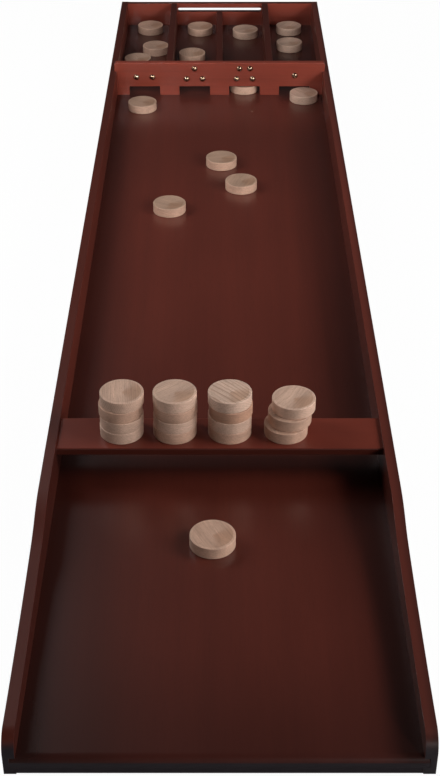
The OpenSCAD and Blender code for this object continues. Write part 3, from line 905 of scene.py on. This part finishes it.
back_outline = [(-inner, 0), (inner, 0), (inner, wall_top), (-inner, wall_top)]
back_board = sawn_board(back_outline, back_low.y, back_high.y, DOWN_LANE, (slot,))
ease(back_board, EASE, lambda middle, along: middle.z > wall_top - HAIR and abs(middle.x) < inner - EASE)
ease(back_board, CRISP, on_slot)
panel_groove = block((-inner - CUT_PAST, back_low.y - CUT_PAST, panel_low.z - GROOVE_PLAY),
                     (inner + CUT_PAST, panel_high.y + GROOVE_PLAY, lane_z))
finish_board(back_board, "back_board", "back_wall", back_finish, (panel_groove,))

# %% [markdown]
# ## The gate board
#
# The gate board crosses the lane on edge, with four gates in its foot, just wider and higher
# than a disc. The gates are part of the outline too. The top and the arrises round the gates
# are eased, and the foot stays square on the lane, or a dark line would open at the joint.

# %% Gate board with its four gates
GATE_WIDE = 0.0575
GATE_HIGH = 0.0165
GATE_STEP = 0.094
GATE_CORNER = 0.005
GATE_COUNT = 4


def gate_middle(k):
    """How far gate k, counted from 0 at the left, is from the middle of the lane."""
    return (k - (GATE_COUNT - 1) / 2) * GATE_STEP


def reachable(middle, along):
    """True for the gate board's top and ends, and for the arrises round the gates."""
    on_foot = middle.z < lane_z + HAIR
    return not on_foot and not runs(along, DOWN_LANE)


gate_half = gate_high.x
gate_top = lane_z + GATE_HIGH
gate_outline = [(-gate_half, lane_z)]
for k in range(GATE_COUNT):
    left, right = gate_middle(k) - GATE_WIDE / 2, gate_middle(k) + GATE_WIDE / 2
    gate_outline += [(left, lane_z), (left, gate_top), (right, gate_top), (right, lane_z)]
gate_outline += [(gate_half, lane_z)]
corner_z = gate_high.z - GATE_CORNER
gate_outline += arc((gate_half - GATE_CORNER, corner_z), GATE_CORNER, 0, 90)
gate_outline += arc((-gate_half + GATE_CORNER, corner_z), GATE_CORNER, 90, 180)
gate_piece = sawn_board(gate_outline, gate_low.y, gate_high.y, DOWN_LANE)
ease(gate_piece, EASE, reachable)
finish_board(gate_piece, "gate_plank", "gate_board", gate_finish)

# %% [markdown]
# ## Dividers, shelf and rail
#
# Three thin dividers part the compartments, a shelf crosses the lane near the player for
# stacking the discs, and a rail under the player's edge stiffens the panel. All are plain
# blocks, so the CAD piece's own box gives their size. What makes them boards is which edges
# are eased: the tops of the dividers, the long edges of the shelf, the front of the rail.

# %% Dividers
for name in ("left_divider", "middle_divider", "right_divider"):
    low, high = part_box(name)
    piece = block(low, high)
    top = high.z - HAIR
    ease(piece, EASE, lambda middle, along: middle.z > top and runs(along, DOWN_LANE))
    finish_board(piece, name + "_board", name, divider_finish)

# %% Shelf and rail
SHELF_EASE = 0.002
SHELF_STEPS = 4

shelf_low, shelf_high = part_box("disc_shelf")
piece = block(shelf_low, shelf_high)
ease(piece, SHELF_EASE,
     lambda middle, along: middle.z > shelf_high.z - HAIR and runs(along, ACROSS_LANE), SHELF_STEPS)
ease(piece, EASE / 2, lambda middle, along: middle.z < shelf_low.z + HAIR and runs(along, ACROSS_LANE))
finish_board(piece, "shelf_plank", "disc_shelf", shelf_finish)

rail_low, rail_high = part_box("front_rail")
piece = block(rail_low, rail_high)
ease(piece, CRISP, lambda middle, along: middle.y < rail_low.y + HAIR and runs(along, ACROSS_LANE))
finish_board(piece, "front_rail_strip", "front_rail", rail_finish)

# %% [markdown]
# ## Round things off a lathe
#
# Discs and nails are bodies of revolution: half a profile, turned about an axis.
# Blender's Screw modifier could do this, but writing the rings of points takes a few lines
# and lets every point carry numbers, which the beech needs.

# %% Turn a profile
def turned(profile, segments):
    """A closed body about Z. The profile starts and ends on the axis, from the top down."""
    bm = bmesh.new()
    top = bm.verts.new((0, 0, profile[0][1]))
    bottom = bm.verts.new((0, 0, profile[-1][1]))
    turns = [2 * math.pi * i / segments for i in range(segments)]
    rings = [[bm.verts.new((r * math.cos(t), r * math.sin(t), z)) for t in turns] for r, z in profile[1:-1]]
    for i in range(segments):
        bm.faces.new((top, rings[0][i - 1], rings[0][i]))
        bm.faces.new((bottom, rings[-1][i], rings[-1][i - 1]))
        for upper, lower in zip(rings, rings[1:]):
            bm.faces.new((upper[i - 1], lower[i - 1], lower[i], upper[i]))
    bmesh.ops.recalc_face_normals(bm, faces=bm.faces)
    for face in bm.faces:
        face.smooth = True
    return bm


print("lathe ready")

# %% [markdown]
# ## The score nails
#
# Brass nails with domed heads tell what each gate scores: two, three, four and one. A nail is
# a cap of a sphere with a thin rolled rim, which sits on the wood, and a shank that was driven
# in. A squashed sphere would do from afar, but has no edge that catches the light.

# %% Turn a nail
NAIL_RADIUS = 0.0055
NAIL_DOME = 0.0034
NAIL_SHANK = 0.0009
NAIL_LONG = 0.008
NAIL_RIM = 0.0004
NAIL_SEGMENTS = 32

dome_radius = (NAIL_RADIUS ** 2 + NAIL_DOME ** 2) / (2 * NAIL_DOME)
spread = math.degrees(math.asin(NAIL_RADIUS / dome_radius))
dome = arc((0, NAIL_DOME - dome_radius), dome_radius, 90, 90 - spread, steps=10)
nail_profile = [tuple(p) for p in dome[:-1]]
nail_profile += [(NAIL_RADIUS, NAIL_RIM), (NAIL_RADIUS - NAIL_RIM / 2, 0)]
nail_profile += [(NAIL_SHANK, 0), (NAIL_SHANK, -NAIL_LONG + NAIL_SHANK), (0, -NAIL_LONG)]
print("dome of a sphere", round(dome_radius * 2000, 1), "mm across")

# %% [markdown]
# A nail is turned with its dome upwards, so each of its points is tipped over towards the
# player as it is driven. The nails could be left as ten objects, but in the CAD model the
# nails over one gate are one piece, and so they are here.

# %% Drive the nails
NAIL_HIGH, NAIL_LOW, NAIL_PAIR, NAIL_SINGLE = 0.0515, 0.0315, 0.035, 0.038
NAIL_WIDE, NAIL_CLOSE = 0.015, 0.010
NAIL_ROWS = {
    "two": [(-NAIL_WIDE, NAIL_PAIR), (NAIL_WIDE, NAIL_PAIR)],
    "three": [(0, NAIL_HIGH), (-NAIL_WIDE, NAIL_LOW), (NAIL_WIDE, NAIL_LOW)],
    "four": [(-NAIL_CLOSE, NAIL_HIGH), (NAIL_CLOSE, NAIL_HIGH),
             (-NAIL_WIDE, NAIL_LOW), (NAIL_WIDE, NAIL_LOW)],
    "one": [(0, NAIL_SINGLE)],
}


def drive_nail(heads, x, z):
    """Adds one nail to a gate's nails, with its dome towards the player."""
    nail = turned(nail_profile, NAIL_SEGMENTS)
    for point in nail.verts:
        point.co = Vector((point.co.x + x, gate_low.y - point.co.z, point.co.y + z + lane_z))
    one = bpy.data.meshes.new("nail")
    nail.to_mesh(one)
    nail.free()
    heads.from_mesh(one)
    bpy.data.meshes.remove(one)


for k, (score, spots) in enumerate(NAIL_ROWS.items()):
    heads = bmesh.new()
    for x, z in spots:
        drive_nail(heads, x + gate_middle(k), z)
    nails = set_down(heads, "nails_" + score)
    nails.data.materials.append(nail_finish)
    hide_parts("score_nails_" + score)
    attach(nails, "board")
    print(nails.name, len(spots), "nails")

# %% [markdown]
# ## Thirty discs
#
# A disc is bevelled at its rim, has a narrow flat to slide on, and both faces are cut in to
# a very shallow cone so that only the flat touches the lane. A cylinder with bevelled edges
# would have dead flat faces, without the soft shading that tells a turned disc from a coin.
# So the profile is drawn point by point, with more points close to each bend, which keep the
# shading crisp there.

# %% Draw the disc's profile
RIM_FLAT = 0.003
DISH_DEEP = 0.0012
DISH_CURVE = 1.3
DISH_RINGS = (0.0015, 0.004, 0.008, 0.012, 0.016, 0.020)
DISH_TIP = 0.00002
BEVEL = 0.0008
NEAR = 0.00025

disc_low, disc_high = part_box("near_disc")
disc_radius = (disc_high.x - disc_low.x) / 2
disc_thick = disc_high.z - disc_low.z
dish_radius = disc_radius - RIM_FLAT


def half_profile():
    """Half the disc's profile, from the middle of its face to mid height."""
    radii = (*DISH_RINGS, dish_radius - NEAR)
    cone = [(r, disc_thick - DISH_DEEP * (1 - r / dish_radius) ** DISH_CURVE) for r in radii]
    tip = [(0, cone[0][1] - DISH_TIP)]
    flat = [(dish_radius, disc_thick - NEAR / 10), (dish_radius + NEAR, disc_thick)]
    flat += [(disc_radius - BEVEL - NEAR, disc_thick)]
    edge = arc((disc_radius - BEVEL, disc_thick - BEVEL), BEVEL, 90, 0, steps=5)
    side = [(disc_radius, disc_thick - BEVEL - NEAR)]
    return tip + cone + flat + [tuple(p) for p in edge] + side


upper = half_profile()
disc_profile = upper + [(r, disc_thick - z) for r, z in reversed(upper)]
print("disc", round(disc_radius * 2000, 1), "mm across,", round(disc_thick * 1000, 1), "mm thick")

# %% [markdown]
# The discs lie as a game left them. Each was cut from its own place in some plank, so it gets
# its own turn, its own distance from the heart of the tree, and its own tone. The random
# numbers come from a seed, so that they are the same every time. The discs that stand out in
# the photograph are then set one by one, by name or by how their names start.

# %% Pick a plank for each disc
HEART_FAR = 0.09
SECTOR_TURN, SECTOR_SPREAD = -28, 18
BY_HAND = {
    "near_disc": (118, 0.53, 0.14),
    "stack_a_disc_4": (95, 0.34, 0.40),
    "stack_b_disc_4": (40, 0.24, 0.18),
    "stack_c_disc_4": (132, 0.0, 0.75),
    "stack_c_disc_3": (150, 0.95, 0.15),
    "stack_d_disc_3": (60, 0.28, 0.30),
}
# The tones are partly the discs' own tone and partly painted light: the discs in the compartments are paler
# where the lamps leave them too dark. The table after it puts painted shade on the faces of some discs.
TONES = {"mid": 0.59, "two": 0.4, "three": 0.5, "four": 0.25, "one": 0.1, "gate_two": 0.5, "gate_one": 0.1}
TOP_SHADED_DISCS = {"mid": 0.7, "gate_two": 0.8, "three_disc_front": 0.3, "two_disc_front": 0.3}
BOLD_DISC, BOLD_HEART = "stack_c_disc_4", (-0.032, 0.065)
random.seed(52)


def listed(table, name, otherwise):
    """The value whose entry a disc's name starts with."""
    return next((value for start, value in table.items() if name.startswith(start)), otherwise)


def pick_plank(name):
    """A disc's turn, tone and rings, its middle's place in the plank, and its sector's turn."""
    turn, tone, rings = random.uniform(0, 180), random.uniform(0.15, 0.75), random.uniform(0.05, 0.3)
    beside, below = random.uniform(-HEART_FAR, HEART_FAR), random.uniform(0.3, 1.0) * HEART_FAR
    along = random.uniform(0, 3)
    sector = random.gauss(SECTOR_TURN, SECTOR_SPREAD)
    turn, tone, rings = BY_HAND.get(name, (turn, tone, rings))
    if name == BOLD_DISC:
        beside, below = BOLD_HEART
    return turn, listed(TONES, name, tone), rings, Vector((along, beside, below)), sector


print("set by hand:", len(BY_HAND), "discs")

# %% [markdown]
# Those numbers are written on the points of the disc's mesh, where the beech material reads
# them. A material for each disc would work as well, but there would be thirty of them.

# %% Write the plank on the disc
# Painted light and shade across a face: a highlight on the flat, shade just inside it, and a little shade
# over the dish.
DISH_SHADE, DISH_EDGE_SHADE, FLAT_HIGHLIGHT = 0.985, 0.9425, 1.07
DISH_MIDDLE = 0.001


def direction(degrees):
    """A step of one along a direction on a disc's face."""
    return Vector((math.cos(math.radians(degrees)), math.sin(math.radians(degrees))))


def painted_face_light(out):
    """The painted light and shade at a distance from a disc's axis: darkest just inside the flat."""
    if out > dish_radius - NEAR / 2:
        return FLAT_HIGHLIGHT
    return DISH_EDGE_SHADE if out > DISH_RINGS[-1] + NEAR / 2 else DISH_SHADE


def write_plank(body, name):
    """Writes on each point of a disc its place in the plank, and what its look depends on."""
    turn, tone, rings, middle, sector = pick_plank(name)
    plank_way, brown_way = direction(turn), direction(sector)
    same = {"tone": tone, "rings": rings, "top_shade": listed(TOP_SHADED_DISCS, name, 0.0)}
    plank = body.verts.layers.float_vector.new("plank")
    layers = {word: body.verts.layers.float.new(word) for word in (*same, "lean", "face_light_and_shade")}
    for point in body.verts:
        place, quarter = point.co.xy, Vector((point.co.y, -point.co.x))
        out = place.length
        in_dish = DISH_MIDDLE < out < dish_radius - NEAR / 2
        lean = place.dot(brown_way) / out if in_dish else 0.0
        point[plank] = Vector((place.dot(plank_way), quarter.dot(plank_way), point.co.z)) + middle
        for word, value in {**same, "lean": lean, "face_light_and_shade": painted_face_light(out)}.items():
            point[layers[word]] = value


print("flat is", round(FLAT_HIGHLIGHT / DISH_SHADE, 2), "times as pale as the dish")

# %% [markdown]
# Now each disc is turned, marked, and set down where the CAD disc lies. Thirty copies of one
# mesh would be lighter, but they would all show the same plank.

# %% Turn the discs
DISC_SEGMENTS = 96

disc_names = [body for body in frame["bodies"] if "disc" in body]
for name in disc_names:
    low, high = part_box(name)
    body = turned(disc_profile, DISC_SEGMENTS)
    write_plank(body, name)
    disc = set_down(body, name + "_beech")
    disc.location = ((low.x + high.x) / 2, (low.y + high.y) / 2, low.z)
    disc.data.materials.append(disc_finish)
    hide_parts(name)
    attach(disc, name)
print(len(disc_names), "discs")

# %% [markdown]
# ## Finishes for what stays from the CAD model
#
# The panel, its battens, the screws and the dowels already have their true shape. To model
# them again would gain nothing, so they stay, and get a finish in their material slots.

# %% Finish the CAD pieces
KEPT = {
    "playing_board": lane_finish,
    "front_batten": batten_finish, "middle_batten": batten_finish, "rear_batten": batten_finish,
    "shelf_dowels": batten_finish, "back_wall_dowels": batten_finish,
    "gate_board_screws": screw_finish, "divider_screws": screw_finish, "batten_screws": screw_finish,
}
for name, finish in KEPT.items():
    mesh = frame["nodes"][name].data
    if not mesh.materials:
        mesh.materials.append(finish)
    for k in range(len(mesh.materials)):
        mesh.materials[k] = finish
print("finished", len(KEPT), "CAD pieces")

# %% [markdown]
# ## Last checks
#
# The dressed board must be the size of the CAD board. Looking at it can't tell a tenth of a
# millimetre, so both boxes are measured and how far the dressed one grows past the CAD one is printed.

# %% Measure and finish
low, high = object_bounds()
grows = [max(a - b, d - c, 0) * 1000 for a, b, c, d in zip(cad_low, low, cad_high, high)]
print("grows by", [round(g, 2) for g in grows], "mm")
